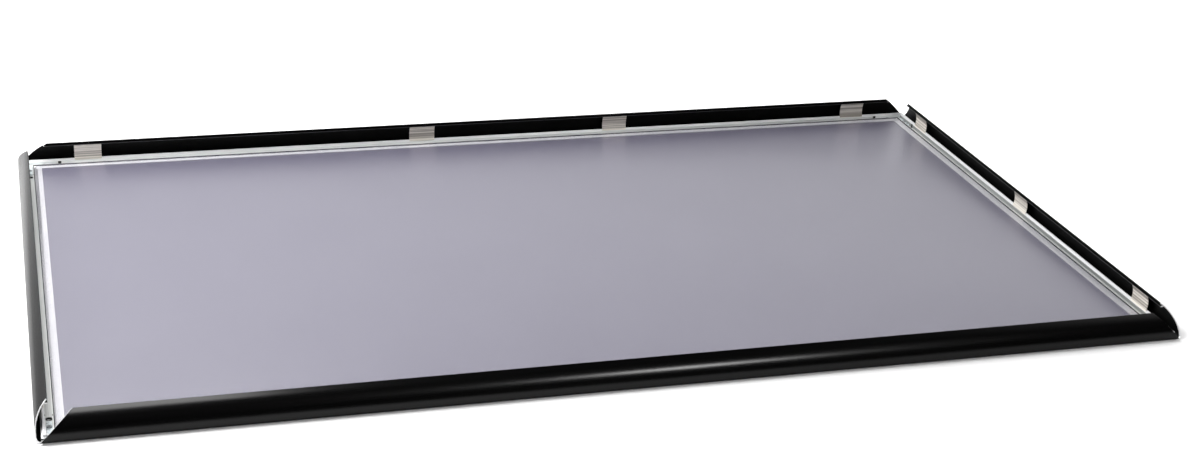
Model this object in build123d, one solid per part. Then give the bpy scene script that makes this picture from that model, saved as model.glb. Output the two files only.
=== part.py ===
from build123d import *
from math import asin, atan2, cos, degrees, hypot, radians, sin, tan
import os

# A front-loading snap frame for a 1000 x 600 mm poster, lying on its back with
# its four spring-loaded cover rails swung open. Units are millimetres.
# X runs along the long sides, Y along the short sides, +Z away from the wall.
# The origin is the middle of the back face, on the plane that meets the wall.
#
# Every rail is drawn as a section in (u, z): u is the distance inward from the
# outer edge of the closed frame and z the height above the back face.

frame_length = 1030.0
frame_width = 630.0

# hinge: a round bead on each cover rail turns in an open socket of the base rail
hinge_inset = 2.4
hinge_height = 2.4
bead_radius = 1.35
bead_clearance = 0.06
socket_wall = 0.9
socket_top_angle = 112.0
socket_stop_clearance = 1.5
web_thickness = 0.9
web_closed_angle = 152.0
open_angle = 68.3

# base rail
floor_thickness = 1.2
prong_inset = 3.0
prong_height = 7.0
seat_height = 5.1
foot_inset = 5.05
channel_inset = 5.8
rim_inset = 11.4
rim_thickness = 0.9
rim_rise = 0.8
ledge_top = 3.9
ledge_thickness = 0.9
ledge_reach = 21.0
groove_width = 0.9
groove_depth = 0.5

# wall fixing holes, two in the channel floor of each rail, each with a round
# bite out of the channel's walls that lets the head of the screw in
wall_hole_radius = 1.9
wall_hole_corner_distance = 40.0
wall_screw_head_radius = 3.3

# cover rail; a shut cover stands tilted up from its drawn section by the rest
# tilt, because only its rib bears on the sheet. The lip is given by its lower edge
rest_tilt = 2.5
lip_reach = 26.5
lip_height = 4.9
cover_thickness = 1.1
skirt_bottom = 2.8
skirt_top = 3.6
shoulder_radius = 5.5
shoulder_angle = 65.0
nose_radius = 0.4
mitre_gap = 0.2
skirt_relief_length = 2.2
skirt_relief_height = 4.2
bead_setback = 5.5
rib_distance = 3.5
rib_thickness = 0.8
rib_tip_inset = 24.2
rib_tip_clearance = 0.2

# backing panel in the slot under the ledge, and cover sheet lying on the ledge
panel_thickness = 1.6
panel_edge_clearance = 0.6
sheet_thickness = 0.8
sheet_edge_clearance = 0.9
sheet_corner_radius = 9.0

# leaf springs
spring_width = 28.5
spring_thickness = 0.4
spring_bow = 2.15
spring_clearance = 0.05
spring_corner_cut = 1.2
long_side_spring_shares = (0.068, 0.4235, 0.6435, 0.932)
short_side_spring_shares = (0.105, 0.5, 0.905)

# corner brackets and their screws
bracket_leg = 34.0
bracket_thickness = 1.2
bracket_side_clearance = 0.35
bracket_corner_radius = 1.0
screw_corner_distance = 23.5
screw_head_radius = 2.1
screw_head_height = 1.0
screw_shank_radius = 1.25
screw_recess_radius = 1.1
screw_recess_depth = 0.6
screw_end_height = 0.2

# one overrun serves every cut that goes right through
overrun = 1.0

socket_radius = bead_radius + bead_clearance
socket_outer = socket_radius + socket_wall
web_half_angle = degrees(asin(web_thickness / 2 / socket_radius))
swing = rest_tilt + open_angle
socket_low_angle = web_closed_angle + swing + web_half_angle + socket_stop_clearance
rim_top = ledge_top + rim_rise
channel_middle = (channel_inset + rim_inset) / 2
sheet_top = ledge_top + sheet_thickness
hinge = (hinge_inset, hinge_height)


def polar(centre, radius, angle):
    return (
        centre[0] + radius * cos(radians(angle)),
        centre[1] + radius * sin(radians(angle)),
    )


def turned(point, angle):
    """Turn a section point about the hinge; positive angles open the cover."""
    reach = hypot(point[0] - hinge[0], point[1] - hinge[1])
    start = degrees(atan2(point[1] - hinge[1], point[0] - hinge[0]))
    return polar(hinge, reach, start + angle)


def block(u_low, u_high, z_low, z_high):
    corner = Pos((u_low + u_high) / 2, (z_low + z_high) / 2)
    return corner * Rectangle(u_high - u_low, z_high - z_low)


def ring_sector(centre, inner, outer, start, end):
    """The part of a ring from one angle round to another, anticlockwise."""
    middle = (start + end) / 2
    edge = Wire([
        Line(polar(centre, inner, start), polar(centre, outer, start)),
        ThreePointArc(
            polar(centre, outer, start),
            polar(centre, outer, middle),
            polar(centre, outer, end),
        ),
        Line(polar(centre, outer, end), polar(centre, inner, end)),
        ThreePointArc(
            polar(centre, inner, end),
            polar(centre, inner, middle),
            polar(centre, inner, start),
        ),
    ])
    return make_face(edge)


# the shell of the cover: a tight shoulder over the hinge, then one long arc
# whose inner side ends at the lip's lower edge
shoulder_centre = (shoulder_radius, skirt_top)
shoulder_end_angle = 180.0 - shoulder_angle
inner_shoulder = shoulder_radius - cover_thickness
inner_start = polar(shoulder_centre, inner_shoulder, shoulder_end_angle)
crown_run = lip_reach - inner_start[0]
crown_rise = lip_height - inner_start[1]
crown_toward = (
    crown_run * cos(radians(shoulder_end_angle)) + crown_rise * sin(radians(shoulder_end_angle))
)
inner_crown = -(crown_run ** 2 + crown_rise ** 2) / (2 * crown_toward)
crown_radius = inner_crown + cover_thickness
crown_centre = polar(inner_start, -inner_crown, shoulder_end_angle)
lip_angle = degrees(atan2(lip_height - crown_centre[1], lip_reach - crown_centre[0]))
lip_corner = polar(crown_centre, crown_radius, lip_angle)

# the rib runs from inside the shell to a tip just clear of the sheet when shut
rib_angle = lip_angle + degrees(rib_distance / crown_radius)
rib_root = polar(crown_centre, inner_crown + cover_thickness / 2, rib_angle)
rib_tip = turned((rib_tip_inset, sheet_top + rib_tip_clearance), -rest_tilt)
rib_facing = degrees(atan2(rib_tip[1] - rib_root[1], rib_tip[0] - rib_root[0])) - 90.0

# spring seats: a foot on the base rail, and the middle of the rib's hinge side
foot = (foot_inset, seat_height + spring_clearance + spring_thickness / 2)
rib_middle = ((rib_root[0] + rib_tip[0]) / 2, (rib_root[1] + rib_tip[1]) / 2)
head_clearance = rib_thickness / 2 + spring_clearance + spring_thickness / 2
head = turned(polar(rib_middle, head_clearance, rib_facing), swing)

# the leaf bows toward the shell between foot and head, by the named bow at its middle
chord_run = head[0] - foot[0]
chord_rise = head[1] - foot[1]
chord = hypot(chord_run, chord_rise)
leaf_radius = (chord ** 2 / 4 + spring_bow ** 2) / (2 * spring_bow)
leaf_facing = degrees(atan2(chord_run, -chord_rise))
leaf_half_turn = degrees(asin(chord / 2 / leaf_radius))
leaf_middle = ((foot[0] + head[0]) / 2, (foot[1] + head[1]) / 2)
leaf_centre = polar(leaf_middle, spring_bow - leaf_radius, leaf_facing)
foot_lean = leaf_facing + leaf_half_turn - 90.0


def base_section():
    floor = block(hinge_inset, ledge_reach, 0, floor_thickness)
    socket = ring_sector(
        hinge, socket_radius, socket_outer, socket_low_angle - 360.0, socket_top_angle
    )
    bore = Pos(*hinge) * Circle(socket_radius)
    side = polar(foot, spring_thickness / 2 + spring_clearance, foot_lean + 90.0)
    low_inset = side[0] - (side[1] - seat_height) / tan(radians(foot_lean))
    top_inset = side[0] + (prong_height - side[1]) / tan(radians(foot_lean))
    seat = make_face(Polyline(
        (prong_inset, 0), (prong_inset, prong_height), (top_inset, prong_height),
        (low_inset, seat_height), (channel_inset, seat_height), (channel_inset, 0),
        close=True,
    ))
    rim = block(rim_inset, rim_inset + rim_thickness, 0, rim_top)
    ledge = block(rim_inset, ledge_reach, ledge_top - ledge_thickness, ledge_top)
    groove_start = rim_inset + rim_thickness
    groove = block(groove_start, groove_start + groove_width, ledge_top - groove_depth, rim_top)
    return floor + seat + rim + ledge - groove - bore + socket


def shell_section():
    shoulder_end = polar(shoulder_centre, shoulder_radius, shoulder_end_angle)
    middle_shoulder = (180.0 + shoulder_end_angle) / 2
    middle_crown = (shoulder_end_angle + lip_angle) / 2
    edge = Wire([
        Line((0, skirt_bottom), (0, skirt_top)),
        ThreePointArc(
            (0, skirt_top),
            polar(shoulder_centre, shoulder_radius, middle_shoulder),
            shoulder_end,
        ),
        ThreePointArc(
            shoulder_end,
            polar(crown_centre, crown_radius, middle_crown),
            lip_corner,
        ),
        Line(lip_corner, polar(crown_centre, inner_crown, lip_angle)),
        ThreePointArc(
            polar(crown_centre, inner_crown, lip_angle),
            polar(crown_centre, inner_crown, middle_crown),
            inner_start,
        ),
        ThreePointArc(
            inner_start,
            polar(shoulder_centre, inner_shoulder, middle_shoulder),
            (cover_thickness, skirt_top),
        ),
        Line((cover_thickness, skirt_top), (cover_thickness, skirt_bottom)),
        Line((cover_thickness, skirt_bottom), (0, skirt_bottom)),
    ])
    shell = make_face(edge)
    nose = shell.vertices().sort_by(Axis.X)[-2:]
    return fillet(nose, nose_radius) + bar(rib_root, rib_tip, rib_thickness)


def bar(start, end, thickness):
    """A straight bar of the section, centred on the line between two points."""
    run, rise = end[0] - start[0], end[1] - start[1]
    centre = Pos((start[0] + end[0]) / 2, (start[1] + end[1]) / 2)
    return centre * Rot(0, 0, degrees(atan2(rise, run))) * Rectangle(hypot(run, rise), thickness)


def bead_section():
    # the web runs from the bead into the middle of the skirt
    web_end_radius = (hinge_inset - cover_thickness / 2) / -cos(radians(web_closed_angle))
    web = bar(hinge, polar(hinge, web_end_radius, web_closed_angle), web_thickness)
    return Pos(*hinge) * Circle(bead_radius) + web


# a section point (u, z) lies at Y = u and Z = z, and the rail runs along +X
section_plane = Plane.YZ
at_rest = Pos(*hinge) * Rot(0, 0, rest_tilt) * Pos(*hinge).inverse()


def run_rail(section, start, end):
    return Pos(start, 0, 0) * extrude(section_plane * section, end - start)


def mitred(rail, length, gap):
    """Cut both ends at 45 degrees, each set back by the gap along the rail."""
    size = lip_reach * 2 + overrun
    depth = size * 2
    wedge = Polyline(
        (gap - size, -size), (gap + size, size), (gap - size, size), close=True
    )
    near = extrude(make_face(wedge), depth / 2, both=True)
    far = Pos(length, 0, 0) * near.mirror(Plane.YZ)
    return rail - near - far


def wall_holes(length):
    through = Pos(0, channel_middle, floor_thickness / 2) * (
        Cylinder(wall_hole_radius, floor_thickness + 2 * overrun)
    )
    bite = Pos(0, channel_middle, floor_thickness) * Cylinder(
        wall_screw_head_radius, prong_height, align=(Align.CENTER, Align.CENTER, Align.MIN)
    )
    hole = through + bite
    return [
        Pos(wall_hole_corner_distance, 0, 0) * hole,
        Pos(length - wall_hole_corner_distance, 0, 0) * hole,
    ]


def screw_holes(length):
    hole = Pos(0, channel_middle, floor_thickness / 2) * (
        Cylinder(screw_shank_radius, floor_thickness + 2 * overrun)
    )
    return [
        Pos(screw_corner_distance, 0, 0) * hole,
        Pos(length - screw_corner_distance, 0, 0) * hole,
    ]


def base_rail(length):
    rail = mitred(run_rail(base_section(), 0, length), length, 0)
    for hole in wall_holes(length) + screw_holes(length):
        rail -= hole
    return rail


def cover_rail(length):
    """A closed cover rail, then swung open about its bead."""
    shell = mitred(run_rail(at_rest * shell_section(), 0, length), length, mitre_gap)
    relief_height = skirt_relief_height - skirt_bottom + overrun
    relief = Box(
        2 * skirt_relief_length, 2 * shoulder_radius, relief_height,
        align=(Align.CENTER, Align.CENTER, Align.MAX),
    )
    for end in (0, length):
        shell -= Pos(end, 0, skirt_relief_height) * relief
    bead = run_rail(at_rest * bead_section(), bead_setback, length - bead_setback)
    return swung(shell + bead)


def swung(piece):
    axis_place = Pos(0, *hinge)
    return axis_place * Rot(open_angle, 0, 0) * axis_place.inverse() * piece


def spring_section():
    return ring_sector(
        leaf_centre,
        leaf_radius - spring_thickness / 2,
        leaf_radius + spring_thickness / 2,
        leaf_facing - leaf_half_turn,
        leaf_facing + leaf_half_turn,
    )


def spring(distance):
    """A leaf with its four corners cut off, seen square on to its chord."""
    leaf = run_rail(spring_section(), -spring_width / 2, spring_width / 2)
    span = chord + 2 * spring_thickness
    outline = Rectangle(spring_width, span)
    blank = extrude(chamfer(outline.vertices(), spring_corner_cut), chord / 2, both=True)
    square_on = Plane((0, *leaf_middle), x_dir=(1, 0, 0), z_dir=(0, *polar((0, 0), 1, leaf_facing)))
    return Pos(distance, 0, 0) * (leaf & square_on.location * blank)


def corner_bracket():
    """An L-shaped plate in the channel, drawn for the corner at the origin."""
    low = channel_inset + bracket_side_clearance
    high = rim_inset - bracket_side_clearance
    outline = Polyline(
        (low, low), (bracket_leg, low), (bracket_leg, high),
        (high, high), (high, bracket_leg), (low, bracket_leg), close=True,
    )
    plate = extrude(make_face(outline), bracket_thickness)
    outer_edges = plate.edges().filter_by(Axis.Z)
    plate = fillet(outer_edges, bracket_corner_radius)
    hole = Cylinder(screw_shank_radius, 3 * bracket_thickness)
    plate -= Pos(screw_corner_distance, channel_middle, 0) * hole
    plate -= Pos(channel_middle, screw_corner_distance, 0) * hole
    return Pos(0, 0, floor_thickness) * plate


def bracket_screw():
    seat = floor_thickness + bracket_thickness
    align = (Align.CENTER, Align.CENTER, Align.MIN)
    head = Pos(0, 0, seat) * Cylinder(screw_head_radius, screw_head_height, align=align)
    shank = Pos(0, 0, screw_end_height) * Cylinder(
        screw_shank_radius, seat - screw_end_height, align=align
    )
    recess = extrude(RegularPolygon(screw_recess_radius, 6), screw_recess_depth, both=True)
    return head + shank - Pos(0, 0, seat + screw_head_height) * recess


# each side's rail is drawn along +X with +Y inward, then turned into place
sides = {
    "front": (frame_length, Pos(-frame_length / 2, -frame_width / 2, 0)),
    "right": (frame_width, Pos(frame_length / 2, -frame_width / 2, 0) * Rot(0, 0, 90)),
    "back": (frame_length, Pos(frame_length / 2, frame_width / 2, 0) * Rot(0, 0, 180)),
    "left": (frame_width, Pos(-frame_length / 2, frame_width / 2, 0) * Rot(0, 0, 270)),
}
# the bracket drawn at a side's start fills the corner where that side begins
corner_names = {
    "front": "front_left", "right": "front_right", "back": "back_right", "left": "back_left",
}

pieces = {}
for side, (length, place) in sides.items():
    pieces[f"base_rail_{side}"] = place * base_rail(length)
    pieces[f"cover_rail_{side}"] = place * cover_rail(length)
    pieces[f"corner_bracket_{corner_names[side]}"] = place * corner_bracket()
    shares = long_side_spring_shares if length == frame_length else short_side_spring_shares
    if side in ("back", "left"):
        shares = [1 - share for share in shares]
    for number, share in enumerate(sorted(shares), 1):
        pieces[f"leaf_spring_{side}_{number}"] = place * spring(share * length)

screws = []
for side, (length, place) in sides.items():
    for distance in (screw_corner_distance, length - screw_corner_distance):
        screws.append(place * Pos(distance, channel_middle, 0) * bracket_screw())
pieces["bracket_screws"] = Compound(children=screws)

panel_inset = rim_inset + rim_thickness + panel_edge_clearance
pieces["backing_panel"] = Pos(0, 0, floor_thickness + panel_thickness / 2) * Box(
    frame_length - 2 * panel_inset, frame_width - 2 * panel_inset, panel_thickness
)
sheet_inset = rim_inset + rim_thickness + sheet_edge_clearance
sheet_outline = RectangleRounded(
    frame_length - 2 * sheet_inset, frame_width - 2 * sheet_inset, sheet_corner_radius
)
pieces["cover_sheet"] = Pos(0, 0, ledge_top) * extrude(sheet_outline, sheet_thickness)

os.makedirs("parts", exist_ok=True)
for name, solid in pieces.items():
    export_step(solid, f"parts/{name}.step")

print("cover width", round(lip_corner[0], 2), "crown top", round(crown_centre[1] + crown_radius, 2))
print("open lip", [round(value, 2) for value in turned(lip_corner, swing)])
print("spring chord open", round(chord, 2), "leaf radius", round(leaf_radius, 2))
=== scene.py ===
import math

import bmesh
import bpy
from mathutils import Matrix, Vector


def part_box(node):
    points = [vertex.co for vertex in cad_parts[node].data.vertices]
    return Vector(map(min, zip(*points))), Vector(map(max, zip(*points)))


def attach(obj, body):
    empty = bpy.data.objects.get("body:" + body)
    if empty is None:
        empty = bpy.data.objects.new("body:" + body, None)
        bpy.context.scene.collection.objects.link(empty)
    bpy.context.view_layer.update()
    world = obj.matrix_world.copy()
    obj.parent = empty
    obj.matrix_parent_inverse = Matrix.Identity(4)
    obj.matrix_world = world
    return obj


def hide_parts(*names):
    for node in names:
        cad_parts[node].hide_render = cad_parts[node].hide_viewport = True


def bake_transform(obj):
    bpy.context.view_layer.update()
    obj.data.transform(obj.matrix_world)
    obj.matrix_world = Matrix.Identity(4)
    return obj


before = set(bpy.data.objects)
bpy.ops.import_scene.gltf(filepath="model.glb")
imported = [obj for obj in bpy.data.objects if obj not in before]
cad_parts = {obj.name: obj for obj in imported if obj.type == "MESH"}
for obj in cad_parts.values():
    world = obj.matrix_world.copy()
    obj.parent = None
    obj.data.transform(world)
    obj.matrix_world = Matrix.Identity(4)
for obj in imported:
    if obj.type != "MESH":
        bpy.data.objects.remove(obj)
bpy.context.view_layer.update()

print("frame loaded:", len(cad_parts), "nodes")

mm = 0.001                      # sections are drawn in millimetres, pieces end in metres
closedFrame = {"length": 1030.0, "width": 630.0, "openTurn": 68.3, "restTilt": 2.5}
hinge = (2.4, 2.4)              # inward from the outer edge, and above the back face

halfLength = closedFrame["length"] / 2
halfWidth = closedFrame["width"] / 2
corners = {
    "front": (-halfLength, -halfWidth, 0),
    "right": (halfLength, -halfWidth, 90),
    "back": (halfLength, halfWidth, 180),
    "left": (-halfLength, halfWidth, 270),
}
rails = {}                      # each rail is drawn along X with Y inward, then placed
for side, (x, y, turn) in corners.items():
    isLong = turn % 180 == 0
    corner = Matrix.Translation((x * mm, y * mm, 0))
    rails[side] = {
        "length": closedFrame["length"] if isLong else closedFrame["width"],
        "place": corner @ Matrix.Rotation(math.radians(turn), 4, "Z"),
        "along": "X" if isLong else "Y",
    }


# drawing tools

drawing = {
    "same": 0.01,               # section points nearer than this are taken as one place
    "weld": 0.0005, "cut": 0.00001, "edgeSteps": 2,
    "sharp": 30.0,              # edges that turn more than this are broken
    "smooth": 35.0,             # faces that meet at less than this are shaded as one
}
sawnCoat = 1                    # the second finish of every rail is the one of its sawn ends


def same(first, second):
    return abs(first - second) < drawing["same"]


def samePlace(first, second):
    return (Vector(first) - Vector(second)).length < drawing["same"]


def polar(centre, radius, degrees):
    turn = math.radians(degrees)
    return (centre[0] + radius * math.cos(turn), centre[1] + radius * math.sin(turn))


# a section point turned about the hinge
def turned(point, degrees):
    away = Vector(point) - Vector(hinge)
    return tuple(Vector(hinge) + Matrix.Rotation(math.radians(degrees), 2) @ away)


# where a line from a point outside a circle enters it, and at what angle
def meet(point, direction, centre, radius):
    along = direction.normalized()
    offset = Vector(point) - Vector(centre)
    half = -offset.dot(along)
    reach = half - math.sqrt(half ** 2 - offset.length_squared + radius ** 2)
    away = offset + reach * along
    return tuple(Vector(centre) + away), math.degrees(math.atan2(away.y, away.x))


# a closed outline in the section plane: a move is a point, or an arc's centre, turn and steps
def drawSection(bm, start, moves):
    pen = bm.verts.new((0, *start))
    for move in moves:
        if len(move) == 2:
            pen = bmesh.ops.extrude_vert_indiv(bm, verts=[pen])["verts"][0]
            pen.co = (0, *move)
        else:
            centre, degrees, steps = move
            swept = bmesh.ops.spin(
                bm, geom=[pen], cent=(0, *centre), axis=(1, 0, 0),
                angle=math.radians(degrees), steps=steps,
            )
            pen = next(g for g in swept["geom_last"] if isinstance(g, bmesh.types.BMVert))
    bmesh.ops.remove_doubles(bm, verts=bm.verts[:], dist=drawing["weld"])
    bmesh.ops.contextual_create(bm, geom=[e for e in bm.edges if e.is_wire])


def pullAlong(bm, distance):
    grown = bmesh.ops.extrude_face_region(bm, geom=bm.faces[:], use_keep_orig=True)
    far = [g for g in grown["geom"] if isinstance(g, bmesh.types.BMVert)]
    bmesh.ops.translate(bm, verts=far, vec=(distance, 0, 0))


def runAlong(bm, start, end):
    bmesh.ops.translate(bm, verts=bm.verts[:], vec=(start, 0, 0))
    pullAlong(bm, end - start)


def mitreEnds(bm, length, gap):
    for at, facing in ((gap, (-1, 1, 0)), (length - gap, (1, 1, 0))):
        cut = bmesh.ops.bisect_plane(
            bm, geom=bm.verts[:] + bm.edges[:] + bm.faces[:], dist=drawing["cut"],
            plane_co=(at, 0, 0), plane_no=facing, clear_outer=True,
        )
        rim = [g for g in cut["geom_cut"] if isinstance(g, bmesh.types.BMEdge)]
        for face in bmesh.ops.contextual_create(bm, geom=rim)["faces"]:
            face.material_index = sawnCoat


def roundEdges(bm, edges, radius, steps):
    bmesh.ops.bevel(
        bm, geom=edges, offset=radius, offset_type="OFFSET", segments=steps,
        profile=0.5, affect="EDGES", clamp_overlap=True, material=-1,
    )


def softenEdges(bm, width, least=drawing["sharp"]):
    sharp = [
        e for e in bm.edges
        if len(e.link_faces) == 2 and e.calc_face_angle(0) > math.radians(least)
    ]
    roundEdges(bm, sharp, width, drawing["edgeSteps"])


def shadeSmooth(mesh):
    mesh.shade_smooth()
    mesh.set_sharp_from_angle(angle=math.radians(drawing["smooth"]))


def finishPiece(name, bm, materials, place=Matrix.Identity(4)):
    bmesh.ops.recalc_face_normals(bm, faces=bm.faces[:])
    bmesh.ops.scale(bm, vec=(mm, mm, mm), verts=bm.verts[:])
    bmesh.ops.transform(bm, matrix=place, verts=bm.verts[:])
    mesh = bpy.data.meshes.new(name)
    bm.to_mesh(mesh)
    bm.free()
    for material in materials:
        mesh.materials.append(material)
    shadeSmooth(mesh)
    piece = bpy.data.objects.new(name, mesh)
    bpy.context.scene.collection.objects.link(piece)
    return piece


# cuts one mesh out of another and keeps the result in the first
def carve(piece, cutter):
    cut = piece.modifiers.new("cut", "BOOLEAN")
    cut.operation = "DIFFERENCE"
    cut.solver = "EXACT"
    cut.object = cutter
    evaluated = piece.evaluated_get(bpy.context.evaluated_depsgraph_get())
    carved = bpy.data.meshes.new_from_object(evaluated)
    piece.modifiers.clear()
    old = piece.data
    carved.name = old.name
    piece.data = carved
    bpy.data.meshes.remove(old)
    shadeSmooth(carved)
    bpy.data.objects.remove(cutter)


# finishes

patterns = {
    "stretch": 0.004, "streakDetail": 3, "streakRoughness": 0.6, "cloudDetail": 4,
    "middle": (0.3, 0.7),       # nearly all of a noise lies between these
}


# noise drawn out along a rail: long in one direction, fine in the others
def streaks(nodes, links, along, across):
    coords = nodes.new("ShaderNodeTexCoord")
    mapping = nodes.new("ShaderNodeMapping")
    long = across * patterns["stretch"]
    scale = (long, across, across) if along == "X" else (across, long, across)
    mapping.inputs["Scale"].default_value = scale
    noise = nodes.new("ShaderNodeTexNoise")
    noise.inputs["Scale"].default_value = 1.0
    noise.inputs["Detail"].default_value = patterns["streakDetail"]
    noise.inputs["Roughness"].default_value = patterns["streakRoughness"]
    links.new(coords.outputs["Object"], mapping.inputs["Vector"])
    links.new(mapping.outputs["Vector"], noise.inputs["Vector"])
    return noise.outputs["Fac"]


def clouds(nodes, links, size):
    coords = nodes.new("ShaderNodeTexCoord")
    noise = nodes.new("ShaderNodeTexNoise")
    noise.inputs["Scale"].default_value = 1 / size
    noise.inputs["Detail"].default_value = patterns["cloudDetail"]
    links.new(coords.outputs["Object"], noise.inputs["Vector"])
    return noise.outputs["Fac"]


def spread(nodes, links, source, results, values=patterns["middle"]):
    ranger = nodes.new("ShaderNodeMapRange")
    ranger.interpolation_type = "SMOOTHSTEP"
    ranger.inputs["From Min"].default_value, ranger.inputs["From Max"].default_value = values
    ranger.inputs["To Min"].default_value, ranger.inputs["To Max"].default_value = results
    links.new(source, ranger.inputs["Value"])
    return ranger.outputs["Result"]


def twoTones(nodes, links, source, finish, target):
    ramp = nodes.new("ShaderNodeValToRGB")
    ramp.color_ramp.interpolation = "EASE"
    positions = finish.get("tones", patterns["middle"])
    for number, tone in enumerate(("dark", "light")):
        ramp.color_ramp.elements[number].position = positions[number]
        ramp.color_ramp.elements[number].color = (*finish[tone], 1)
    links.new(source, ramp.inputs["Fac"])
    links.new(ramp.outputs["Color"], target)


def raiseBump(nodes, links, source, depth, shader):
    bump = nodes.new("ShaderNodeBump")
    bump.inputs["Strength"].default_value = 1.0
    bump.inputs["Distance"].default_value = depth
    links.new(source, bump.inputs["Height"])
    links.new(bump.outputs["Normal"], shader.inputs["Normal"])


# the finishes that run along a rail, on the covers, the base rails and the springs
railFinishes = {
    "black": {
        "name": "blackAnodised", "dark": (0.001, 0.001, 0.0011), "light": (0.0018, 0.0018, 0.002),
        "roughness": (0.2, 0.225), "lines": 1400, "depth": 0.0000015, "specular": 0.3,
    },
    "inside": {
        "name": "blackInside", "dark": (0.0006, 0.0006, 0.0006), "light": (0.0014, 0.0014, 0.0014),
        "roughness": (0.36, 0.44), "lines": 1400, "depth": 0.000003, "specular": 0.06,
    },
    # a painted highlight along the rib's tip edge, lighter than the black
    "tip": {
        "name": "tipHighlightBlack", "dark": (0.03, 0.03, 0.031), "light": (0.06, 0.06, 0.062),
        "roughness": (0.3, 0.4), "lines": 1400, "depth": 0.000002, "specular": 0.4,
    },
    "shade": {                  # painted shade in the cut holes and in the narrow groove
        "name": "shadedAluminium", "dark": (0.012, 0.013, 0.012), "light": (0.03, 0.032, 0.03),
        "roughness": (0.5, 0.6), "lines": 900, "depth": 0.00001, "metallic": 0.3,
    },
    "bare": {
        "name": "bareAluminium", "dark": (0.78, 0.79, 0.8), "light": (0.92, 0.92, 0.93),
        "roughness": (0.34, 0.48), "lines": 1700, "depth": 0.000012, "metallic": 0.2,
    },
    "sawn": {
        "name": "sawnAluminium", "dark": (0.8, 0.8, 0.81), "light": (0.94, 0.94, 0.94),
        "roughness": (0.25, 0.36), "lines": 2600, "depth": 0.000008, "metallic": 0.2,
    },
    "channel": {
        "name": "channelAluminium", "dark": (0.6, 0.62, 0.61), "light": (0.8, 0.81, 0.8),
        "roughness": (0.36, 0.5), "lines": 1100, "depth": 0.00002, "metallic": 0.5,
    },
    "ledge": {
        "name": "ledgeAluminium", "dark": (0.86, 0.86, 0.88), "light": (0.94, 0.94, 0.95),
        "roughness": (0.4, 0.5), "lines": 1700, "depth": 0.000006, "metallic": 0.1,
    },
    "spring": {
        "name": "springSteel", "dark": (0.42, 0.38, 0.33), "light": (0.98, 0.93, 0.85),
        "roughness": (0.3, 0.46), "lines": 620, "depth": 0.00004, "metallic": 0.35,
        "tones": (0.38, 0.62),
    },
}
wallFinishes = {                # the channel's upright wall; the short rails' copy is darker, a painted shade
    "X": {
        "name": "wallAluminium", "dark": (0.8, 0.82, 0.81), "light": (0.92, 0.93, 0.92),
        "roughness": (0.4, 0.5), "lines": 1100, "depth": 0.00001, "metallic": 0.3,
    },
    # painted shade: the short rails' wall, darker than the long rails'
    "Y": {
        "name": "wallAluminium", "dark": (0.3, 0.315, 0.31), "light": (0.44, 0.455, 0.45),
        "roughness": (0.4, 0.5), "lines": 1100, "depth": 0.00001, "metallic": 0.5,
    },
}
platedFinish = {
    "name": "platedSteel", "dark": (0.68, 0.75, 0.78), "light": (0.84, 0.9, 0.92),
    "roughness": (0.25, 0.4), "cloud": 0.004, "metallic": 0.4,
}
screwFinish = {
    "name": "screwSteel", "dark": (0.26, 0.28, 0.29), "light": (0.42, 0.44, 0.45),
    "roughness": (0.3, 0.45), "cloud": 0.0015, "metallic": 0.7,
}
panelFinish = {
    "name": "backingPlastic", "dark": (0.205, 0.196, 0.268), "light": (0.225, 0.216, 0.288),
    "evenRoughness": 0.3, "cloud": 0.09, "specular": 1.0, "coat": 1.0, "coatRoughness": 0.3,
}
sheetFinish = {
    "name": "clearSheet", "dark": (0.215, 0.203, 0.275), "light": (0.225, 0.213, 0.285),
    "roughness": (0.28, 0.32), "cloud": 0.12, "specular": 1.0, "coat": 1.0,
    "coatRoughness": 0.28, "alpha": 0.28,
}
shaderSockets = {               # values of a finish that are the same all over it
    "metallic": "Metallic", "specular": "Specular IOR Level", "evenRoughness": "Roughness",
    "coat": "Coat Weight", "coatRoughness": "Coat Roughness", "alpha": "Alpha",
}


# streaked along a rail where it is told which way, and clouded elsewhere
def makeFinish(finish, along=""):
    material = bpy.data.materials.new(finish["name"] + along)
    material.use_nodes = True
    nodes, links = material.node_tree.nodes, material.node_tree.links
    shader = nodes["Principled BSDF"]
    if along:
        pattern = streaks(nodes, links, along, finish["lines"])
        raiseBump(nodes, links, pattern, finish["depth"], shader)
    else:
        pattern = clouds(nodes, links, finish["cloud"])
    twoTones(nodes, links, pattern, finish, shader.inputs["Base Color"])
    if "roughness" in finish:
        rough = spread(nodes, links, pattern, finish["roughness"])
        links.new(rough, shader.inputs["Roughness"])
    for value, socket in shaderSockets.items():
        if value in finish:
            shader.inputs[socket].default_value = finish[value]
    return material


finishes = {}
for along in ("X", "Y"):
    finishes[along] = {key: makeFinish(finish, along) for key, finish in railFinishes.items()}
    finishes[along]["wall"] = makeFinish(wallFinishes[along], along)
print("finishes made")


# base rails

baseRail = {
    "floorTop": 1.2, "floorEnd": 21.0, "socketInner": 1.41, "socketOuter": 2.31,
    "socketLow": -117.1, "socketTop": 112.0, "prongSide": 3.0, "prongTop": 7.0,
    "slantTop": 4.13, "slantLow": 4.88, "seatTop": 5.1, "channelStart": 5.8,
    "rimStart": 11.4, "rimEnd": 12.3, "rimTop": 4.7, "grooveEnd": 13.2, "grooveFloor": 3.4,
    "ledgeTop": 3.9, "ledgeUnder": 3.0, "edge": 0.08, "socketSteps": 28, "outsideSteps": 6,
}
baseCoats = ("bare", "sawn", "channel", "ledge", "shade", "wall")
wallHole = {"cornerDistance": 40.0, "radius": 1.9, "biteRadius": 3.3}
screwHole = {"cornerDistance": 23.5, "radius": 1.25, "cutAbove": 0.5}
holeCutter = {"reach": 12.0, "steps": 40}


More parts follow.
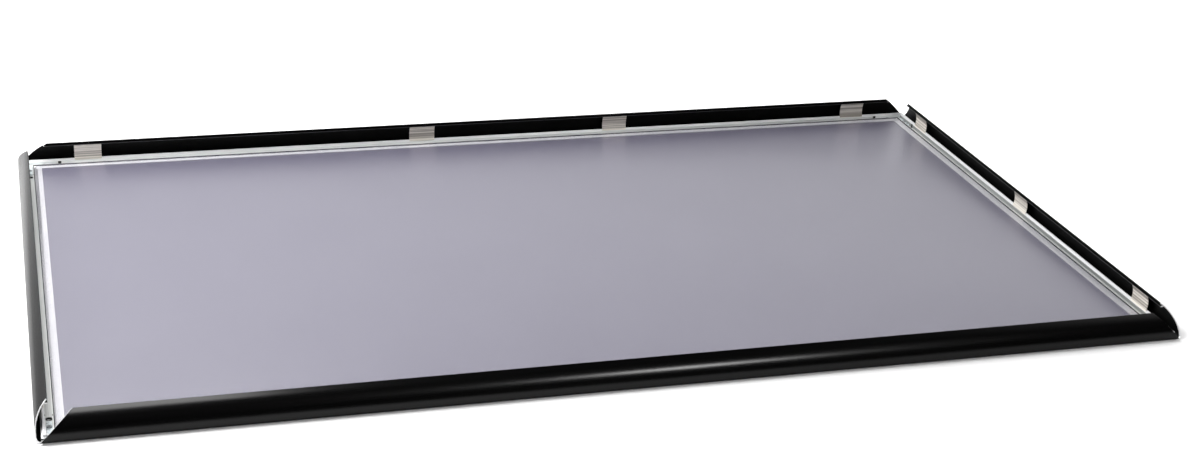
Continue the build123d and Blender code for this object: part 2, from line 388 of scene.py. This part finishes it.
def drawBase(bm, b):
    prongFoot = math.degrees(math.acos((b["prongSide"] - hinge[0]) / b["socketOuter"]))
    drawSection(bm, (b["floorEnd"], 0), [
        (hinge[0], 0),
        (hinge[0], hinge[1] - b["socketOuter"]),
        (hinge, b["socketLow"] + 90, b["outsideSteps"]),        # from straight below the hinge
        polar(hinge, b["socketInner"], b["socketLow"]),
        (hinge, b["socketTop"] - b["socketLow"], b["socketSteps"]),
        polar(hinge, b["socketOuter"], b["socketTop"]),
        (hinge, prongFoot - b["socketTop"], b["outsideSteps"]),
        (b["prongSide"], b["prongTop"]),
        (b["slantTop"], b["prongTop"]),
        (b["slantLow"], b["seatTop"]),
        (b["channelStart"], b["seatTop"]),
        (b["channelStart"], b["floorTop"]),
        (b["rimStart"], b["floorTop"]),
        (b["rimStart"], b["rimTop"]),
        (b["rimEnd"], b["rimTop"]),
        (b["rimEnd"], b["grooveFloor"]),
        (b["grooveEnd"], b["grooveFloor"]),
        (b["grooveEnd"], b["ledgeTop"]),
        (b["floorEnd"], b["ledgeTop"]),
        (b["floorEnd"], b["ledgeUnder"]),
        (b["rimEnd"], b["ledgeUnder"]),
        (b["rimEnd"], b["floorTop"]),
        (b["floorEnd"], b["floorTop"]),
    ])


def coatBase(bm, b):
    for face in bm.faces:
        _, across, up = face.calc_center_median()
        onFloor = same(up, b["floorTop"]) and b["channelStart"] < across < b["rimStart"]
        onRim = same(up, b["rimTop"]) and b["rimStart"] < across < b["rimEnd"]
        overGroove = b["rimEnd"] - drawing["same"] < across < b["grooveEnd"] + drawing["same"]
        if onFloor or onRim:
            face.material_index = baseCoats.index("channel")
        elif same(up, b["ledgeTop"]):
            face.material_index = baseCoats.index("ledge")
        elif overGroove and up > b["grooveFloor"] - drawing["same"]:
            face.material_index = baseCoats.index("shade")
        elif same(across, b["channelStart"]) and up < b["seatTop"]:
            face.material_index = baseCoats.index("wall")


def makeBase(side):
    rail, b = rails[side], baseRail
    coats = [finishes[rail["along"]][name] for name in baseCoats]
    bm = bmesh.new()
    drawBase(bm, b)
    runAlong(bm, 0, rail["length"])
    coatBase(bm, b)
    mitreEnds(bm, rail["length"], 0)
    softenEdges(bm, b["edge"])
    piece = finishPiece(side + "Base", bm, coats, rail["place"])

    inChannel = (b["channelStart"] + b["rimStart"]) / 2
    reach = holeCutter["reach"]
    for hole, radius, low, high in (
        (wallHole, wallHole["radius"], -reach, reach),
        (screwHole, screwHole["radius"], -reach, b["floorTop"] + screwHole["cutAbove"]),
        (wallHole, wallHole["biteRadius"], b["floorTop"], reach),
    ):
        bm = bmesh.new()
        for at in (hole["cornerDistance"], rail["length"] - hole["cornerDistance"]):
            bmesh.ops.create_cone(
                bm, cap_ends=True, segments=holeCutter["steps"], radius1=radius, radius2=radius,
                depth=high - low, matrix=Matrix.Translation((at, inChannel, (low + high) / 2)),
            )
        for face in bm.faces:
            face.material_index = baseCoats.index("shade")
        carve(piece, finishPiece("holes", bm, coats, rail["place"]))
    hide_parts("base_rail_" + side)
    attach(piece, "frame")


for side in rails:
    makeBase(side)
print("base rails made")


# cover rails, drawn closed and then swung open about the hinge

coverRail = {
    "wall": 1.1, "skirtBottom": 2.8, "skirtTop": 3.6, "shoulderRadius": 5.5, "shoulderTurn": 65.0,
    "lip": (26.5, 4.9), "nose": 0.4, "ribFromLip": 3.5, "ribTip": (24.2, 4.9), "ribWall": 0.8,
    "mitreGap": 0.2, "edge": 0.12, "reliefLength": 2.2, "reliefTop": 4.2,
    "insideShare": 0.95,        # faces this far through the wall get the inside's finish
}
coverSteps = {
    "shoulder": 14, "crown": 44, "nose": 4, "insideLip": 6, "insideCrown": 36,
    "insideShoulder": 12, "bead": 32,
}
beadRail = {"radius": 1.35, "setback": 5.5, "webWall": 0.9, "webTurn": 152.0}
coverCoats = ("black", "sawn", "inside", "tip")


# centre and radii of the long arc that starts at the shoulder and ends at the lip
def crownOf(c):
    shoulder = (c["shoulderRadius"], c["skirtTop"])
    end = 180 - c["shoulderTurn"]
    start = polar(shoulder, c["shoulderRadius"] - c["wall"], end)
    run = Vector(c["lip"]) - Vector(start)
    inner = -run.length_squared / (2 * run.dot(Vector(polar((0, 0), 1, end))))
    centre = polar(start, -inner, end)
    lipTurn = math.degrees(math.atan2(c["lip"][1] - centre[1], c["lip"][0] - centre[0]))
    return shoulder, end, centre, inner, lipTurn


# the rib's root in the shell, its tip, and half its wall toward the lip
def ribOf(c):
    _, _, centre, inner, lipTurn = crownOf(c)
    turn = lipTurn + math.degrees(c["ribFromLip"] / (inner + c["wall"]))
    root = Vector(polar(centre, inner + c["wall"] / 2, turn))
    tip = Vector(turned(c["ribTip"], -closedFrame["restTilt"]))
    lipward = Vector((root.y - tip.y, tip.x - root.x)).normalized()
    return root, tip, lipward * c["ribWall"] / 2


def tilt(bm, degrees):
    bmesh.ops.rotate(
        bm, cent=(0, *hinge), verts=bm.verts[:],
        matrix=Matrix.Rotation(math.radians(degrees), 3, "X"),
    )


def drawShell(bm, length, c, steps):
    shoulder, end, centre, inner, lipTurn = crownOf(c)
    outer = inner + c["wall"]
    root, tip, lipward = ribOf(c)
    _, ribLip = meet(root + lipward, tip - root, centre, inner)
    ribHinge, ribHingeTurn = meet(root - lipward, tip - root, centre, inner)
    drawSection(bm, (0, c["skirtBottom"]), [
        (0, c["skirtTop"]),
        (shoulder, -c["shoulderTurn"], steps["shoulder"]),
        (centre, lipTurn - end, steps["crown"]),
        polar(centre, inner, lipTurn),
        (centre, ribLip - lipTurn, steps["insideLip"]),
        tuple(tip + lipward),
        tuple(tip - lipward),
        ribHinge,
        (centre, end - ribHingeTurn, steps["insideCrown"]),
        (shoulder, c["shoulderTurn"], steps["insideShoulder"]),
        (c["wall"], c["skirtBottom"]),
    ])
    runAlong(bm, 0, length)
    for face in bm.faces:
        at = face.calc_center_median().yz
        inShoulder = at.x < polar(centre, inner, end)[0]
        away = (at - Vector(shoulder if inShoulder else centre)).length
        shell = c["shoulderRadius"] if inShoulder else outer
        if away < shell - c["wall"] * c["insideShare"]:
            face.material_index = coverCoats.index("inside")
        # the rib's tip face gets the painted highlight
        if samePlace(at, tip):
            face.material_index = coverCoats.index("tip")
    noses = [polar(centre, radius, lipTurn) for radius in (inner, outer)]
    lips = [
        e for e in bm.edges
        if any(all(samePlace(v.co.yz, nose) for v in e.verts) for nose in noses)
    ]
    roundEdges(bm, lips, c["nose"], steps["nose"])


# the round bead that turns in the base rail's socket, and the web that joins it to the skirt
def drawBead(bm, length, c, bead, steps):
    webHalf = math.degrees(math.asin(bead["webWall"] / 2 / bead["radius"]))
    webReach = (hinge[0] - c["wall"] / 2) / -math.cos(math.radians(bead["webTurn"]))
    webEnd = polar(hinge, webReach, bead["webTurn"])
    drawSection(bm, polar(webEnd, bead["webWall"] / 2, bead["webTurn"] - 90), [
        polar(hinge, bead["radius"], bead["webTurn"] - webHalf),
        (hinge, 2 * webHalf - 360, steps["bead"]),
        polar(webEnd, bead["webWall"] / 2, bead["webTurn"] + 90),
    ])
    runAlong(bm, bead["setback"], length - bead["setback"])
    for face in bm.faces:
        face.material_index = coverCoats.index("inside")


# blocks that clear the skirt's foot at both ends, where two covers meet
def reliefBlocks(length, c, coats):
    bm = bmesh.new()
    height = 2 * (c["reliefTop"] - c["skirtBottom"])
    size = Matrix.Diagonal((2 * c["reliefLength"], 2 * c["shoulderRadius"], height, 1))
    for at in (0, length):
        where = Matrix.Translation((at, 0, c["reliefTop"] - height / 2))
        bmesh.ops.create_cube(bm, size=1, matrix=where @ size)
    for face in bm.faces:
        face.material_index = sawnCoat
    return finishPiece("relief", bm, coats)


def makeCover(side):
    rail, c = rails[side], coverRail
    length = rail["length"]
    coats = [finishes[rail["along"]][name] for name in coverCoats]
    bm = bmesh.new()
    drawShell(bm, length, c, coverSteps)
    tilt(bm, closedFrame["restTilt"])
    mitreEnds(bm, length, c["mitreGap"])
    softenEdges(bm, c["edge"])
    shell = finishPiece("shell", bm, coats)
    carve(shell, reliefBlocks(length, c, coats))

    bm = bmesh.new()
    drawBead(bm, length, c, beadRail, coverSteps)
    tilt(bm, closedFrame["restTilt"])
    bead = bpy.data.meshes.new("bead")
    bm.to_mesh(bead)
    bm.free()

    bm = bmesh.new()
    bm.from_mesh(shell.data)
    bmesh.ops.scale(bm, vec=(1 / mm,) * 3, verts=bm.verts[:])
    bm.from_mesh(bead)
    tilt(bm, closedFrame["openTurn"])
    for spare in (shell.data, bead):        # the shell's object goes with its mesh
        bpy.data.meshes.remove(spare)
    piece = finishPiece(side + "Cover", bm, coats, rail["place"])
    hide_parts("cover_rail_" + side)
    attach(piece, side + "_cover")


for side in rails:
    makeCover(side)
print("cover rails made")


# leaf springs, bowed between the base rail's seat and the cover's rib

leafSpring = {
    "foot": (5.05, 5.35), "bow": 2.15, "wall": 0.4, "width": 28.5, "corner": 1.6,
    "clearance": 0.05, "bowSteps": 24, "cornerSteps": 5,
    "bends": 0.5,               # the share of a real leaf, from its foot, that bends
}


# foot, head and the arc between them, in the section of the open cover
def leafOf(s, c):
    root, tip, lipward = ribOf(c)
    away = lipward.normalized() * (c["ribWall"] / 2 + s["clearance"] + s["wall"] / 2)
    swing = closedFrame["openTurn"] + closedFrame["restTilt"]
    foot = Vector(s["foot"])
    head = Vector(turned((root + tip) / 2 - away, swing))
    chord = head - foot
    radius = (chord.length_squared / 4 + s["bow"] ** 2) / (2 * s["bow"])
    shellward = Vector((-chord.y, chord.x)).normalized()
    centre = (foot + head) / 2 + shellward * (s["bow"] - radius)
    return foot, head, centre


def makeSpring(side, node):
    rail, s = rails[side], leafSpring
    foot, head, centre = leafOf(s, coverRail)
    low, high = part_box(node)
    middle = (Vector(low) + Vector(high)) / 2
    at = (rail["place"].inverted() @ middle).x / mm
    thick = (foot - centre).normalized() * s["wall"] / 2
    sweep = (foot - centre).angle(head - centre)
    bm = bmesh.new()
    footEnds = [
        bm.verts.new((at - s["width"] / 2, *edge)) for edge in (foot - thick, foot + thick)
    ]
    start = bmesh.ops.contextual_create(bm, geom=footEnds)["edges"]
    bmesh.ops.spin(
        bm, geom=start + footEnds, cent=(0, *centre), axis=(1, 0, 0),
        angle=-sweep, steps=s["bowSteps"],
    )
    pullAlong(bm, s["width"])
    leafCorners = [
        e for e in bm.edges
        if any(samePlace((e.verts[0].co.yz + e.verts[1].co.yz) / 2, end) for end in (foot, head))
    ]
    roundEdges(bm, leafCorners, s["corner"], s["cornerSteps"])
    metals = finishes[rail["along"]]
    piece = finishPiece(side + "Spring" + node[-1], bm, [metals["spring"]], rail["place"])
    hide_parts(node)
    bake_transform(piece)


for side in rails:
    for node in sorted(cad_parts):
        if node.startswith("leaf_spring_" + side):
            makeSpring(side, node)
print("leaf springs made")


# clear sheet, backing panel, brackets and screws

clearSheet = {"corner": 9.0, "cornerSteps": 12, "edge": 0.12, "sharp": 60.0}


def makeSheet():
    low, high = (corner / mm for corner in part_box("cover_sheet"))
    bm = bmesh.new()
    size = Matrix.Diagonal((*(high - low), 1))
    bmesh.ops.create_cube(bm, size=1, matrix=Matrix.Translation((low + high) / 2) @ size)
    upright = [e for e in bm.edges if not same(e.verts[0].co.z, e.verts[1].co.z)]
    roundEdges(bm, upright, clearSheet["corner"], clearSheet["cornerSteps"])
    softenEdges(bm, clearSheet["edge"], least=clearSheet["sharp"])
    piece = finishPiece("clearSheetPiece", bm, [makeFinish(sheetFinish)])
    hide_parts("cover_sheet")
    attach(piece, "poster_sheet")


makeSheet()


def coat(node, material):
    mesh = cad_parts[node].data
    mesh.materials.clear()
    mesh.materials.append(material)


coat("backing_panel", makeFinish(panelFinish))
coat("bracket_screws", makeFinish(screwFinish))
plated = makeFinish(platedFinish)
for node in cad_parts:
    if node.startswith("corner_bracket"):
        coat(node, plated)
print("sheet, panel and brackets made")


# floor, light and camera

def combine(nodes, links, operation, *sources):
    node = nodes.new("ShaderNodeMath")
    node.operation = operation
    for socket, source in enumerate(sources):
        links.new(source, node.inputs[socket])
    return node.outputs[0]


# the camera sees one shader, while light and reflections meet the other
def splitRays(nodes, links, met, seen, target):
    light = nodes.new("ShaderNodeLightPath")
    pick = nodes.new("ShaderNodeMixShader")
    links.new(light.outputs["Is Camera Ray"], pick.inputs["Fac"])
    links.new(met, pick.inputs[1])
    links.new(seen, pick.inputs[2])
    links.new(pick.outputs[0], target)


floor = {
    "size": 12.0, "drop": 0.00005, "albedo": 0.65, "seen": 0.95,
    "glow": (0.25, 0.85), "glowReach": (0.8, 1.7), "nearest": (-0.55, -0.3, 0),
    "shadow": 0.007,            # the floor's own glow fades out over this, either side of the edge: a painted shadow along the frame and under it
}


def makeFloor():
    bm = bmesh.new()
    bmesh.ops.create_grid(bm, x_segments=1, y_segments=1, size=floor["size"] / 2 / mm)
    bmesh.ops.translate(bm, verts=bm.verts[:], vec=(0, 0, -floor["drop"] / mm))
    material = bpy.data.materials.new("tableTop")
    material.use_nodes = True
    nodes, links = material.node_tree.nodes, material.node_tree.links
    nodes.clear()
    out = nodes.new("ShaderNodeOutputMaterial")
    plain = nodes.new("ShaderNodeBsdfDiffuse")
    plain.inputs["Color"].default_value = (floor["albedo"],) * 3 + (1,)
    seen = nodes.new("ShaderNodeBsdfDiffuse")
    seen.inputs["Color"].default_value = (floor["seen"],) * 3 + (1,)
    coords = nodes.new("ShaderNodeTexCoord")
    away = nodes.new("ShaderNodeVectorMath")
    away.operation = "DISTANCE"
    links.new(coords.outputs["Object"], away.inputs[0])
    away.inputs[1].default_value = floor["nearest"]
    strength = spread(nodes, links, away.outputs["Value"], floor["glow"], floor["glowReach"])
    apart = nodes.new("ShaderNodeSeparateXYZ")
    links.new(coords.outputs["Object"], apart.inputs[0])
    # the glow is taken away under the frame and fades in just outside its edge, a painted shadow
    beside = []
    for axis, half in (("X", halfLength), ("Y", halfWidth)):
        mirrored = combine(nodes, links, "ABSOLUTE", apart.outputs[axis])
        fade = (half * mm - floor["shadow"], half * mm + floor["shadow"])
        beside.append(spread(nodes, links, mirrored, (0, 1), fade))
    outside = combine(nodes, links, "MAXIMUM", *beside)
    glow = nodes.new("ShaderNodeEmission")
    links.new(combine(nodes, links, "MULTIPLY", outside, strength), glow.inputs["Strength"])
    both = nodes.new("ShaderNodeAddShader")
    links.new(seen.outputs[0], both.inputs[0])
    links.new(glow.outputs[0], both.inputs[1])
    splitRays(nodes, links, plain.outputs[0], both.outputs[0], out.inputs["Surface"])
    piece = finishPiece("tableTop", bm, [material])


makeFloor()

# each wall goes from one strength to another over a part of its direction
room = {
    "back": ((0.01, 0.9), (-0.3, 0.2)), "low": ((1, 0), (0.6, 0.85)),
    "rising": ((1, 1.7), (0.3, 0.6)), "over": ((0, 0.03), (0.5, 0.75)),
    "window": (0.321, -0.72, 0.616), "windowReach": 6.0, "windowGlow": 33.0,
}


def makeWorld():
    world = bpy.data.worlds.new("room")
    bpy.context.scene.world = world
    world.use_nodes = True
    nodes, links = world.node_tree.nodes, world.node_tree.links
    nodes.clear()
    out = nodes.new("ShaderNodeOutputWorld")
    coords = nodes.new("ShaderNodeTexCoord")
    parts = nodes.new("ShaderNodeSeparateXYZ")
    links.new(coords.outputs["Generated"], parts.inputs[0])

    back = spread(nodes, links, parts.outputs["Y"], *room["back"])
    low, rising, over = (
        spread(nodes, links, parts.outputs["Z"], *room[wall]) for wall in ("low", "rising", "over")
    )
    walls = combine(nodes, links, "MULTIPLY", combine(nodes, links, "MULTIPLY", back, low), rising)

    aim = nodes.new("ShaderNodeVectorMath")
    aim.operation = "DOT_PRODUCT"
    links.new(coords.outputs["Generated"], aim.inputs[0])
    aim.inputs[1].default_value = Vector(room["window"]).normalized()
    reach = math.cos(math.radians(room["windowReach"]))
    window = spread(nodes, links, aim.outputs["Value"], (0, room["windowGlow"]), (reach, 1))
    total = combine(nodes, links, "ADD", combine(nodes, links, "ADD", walls, over), window)

    lit = nodes.new("ShaderNodeBackground")
    links.new(total, lit.inputs["Strength"])
    white = nodes.new("ShaderNodeBackground")
    for shade in (lit, white):
        shade.inputs["Color"].default_value = (1, 1, 1, 1)
    splitRays(nodes, links, lit.outputs[0], white.outputs[0], out.inputs["Surface"])


makeWorld()

lamps = {
    "softbox": {
        "at": (-0.8, 0.15, 1.3), "aim": (-0.8, 0.15, 0), "size": (0.8, 1.45), "watts": 31,
        "mirrored": True,
    },
    "backLamp": {
        "at": (-0.2, 2.2, 1.9), "aim": (0, 0, 0), "size": (1.6, 0.6), "watts": 9,
        "mirrored": False,
    },
    "fillLamp": {
        "at": (-0.9, 0, 1.2), "aim": (-0.3, 0, 0), "size": (0.8, 0.8), "watts": 5,
        "mirrored": False,
    },
}


def makeLamps():
    for name, lamp in lamps.items():
        data = bpy.data.lights.new(name, "AREA")
        data.shape = "RECTANGLE"
        data.size, data.size_y = lamp["size"]
        data.energy = lamp["watts"]
        holder = bpy.data.objects.new(name, data)
        holder.location = lamp["at"]
        aim = Vector(lamp["aim"]) - Vector(lamp["at"])
        holder.rotation_euler = aim.to_track_quat("-Z", "Y").to_euler()
        holder.visible_glossy = lamp["mirrored"]
        bpy.context.scene.collection.objects.link(holder)


makeLamps()

camera = {
    "at": (-0.51183, -1.78286, 0.79175), "yaw": 17.226, "pitch": 22.682, "roll": 2.841,
    "focal": 60.16, "sensor": 36.0, "clip": (0.05, 50),
}


def makeCamera():
    data = bpy.data.cameras.new("camera")
    data.lens, data.sensor_width = camera["focal"], camera["sensor"]
    data.clip_start, data.clip_end = camera["clip"]
    holder = bpy.data.objects.new("camera", data)
    turn = (
        Matrix.Rotation(-math.radians(camera["yaw"]), 4, "Z")
        @ Matrix.Rotation(math.radians(90 - camera["pitch"]), 4, "X")
        @ Matrix.Rotation(math.radians(camera["roll"]), 4, "Z")
    )
    holder.matrix_world = Matrix.Translation(camera["at"]) @ turn
    bpy.context.scene.collection.objects.link(holder)
    bpy.context.scene.camera = holder


makeCamera()
bpy.context.scene.view_settings.view_transform = "Standard"
print("stage, lamps and camera made")
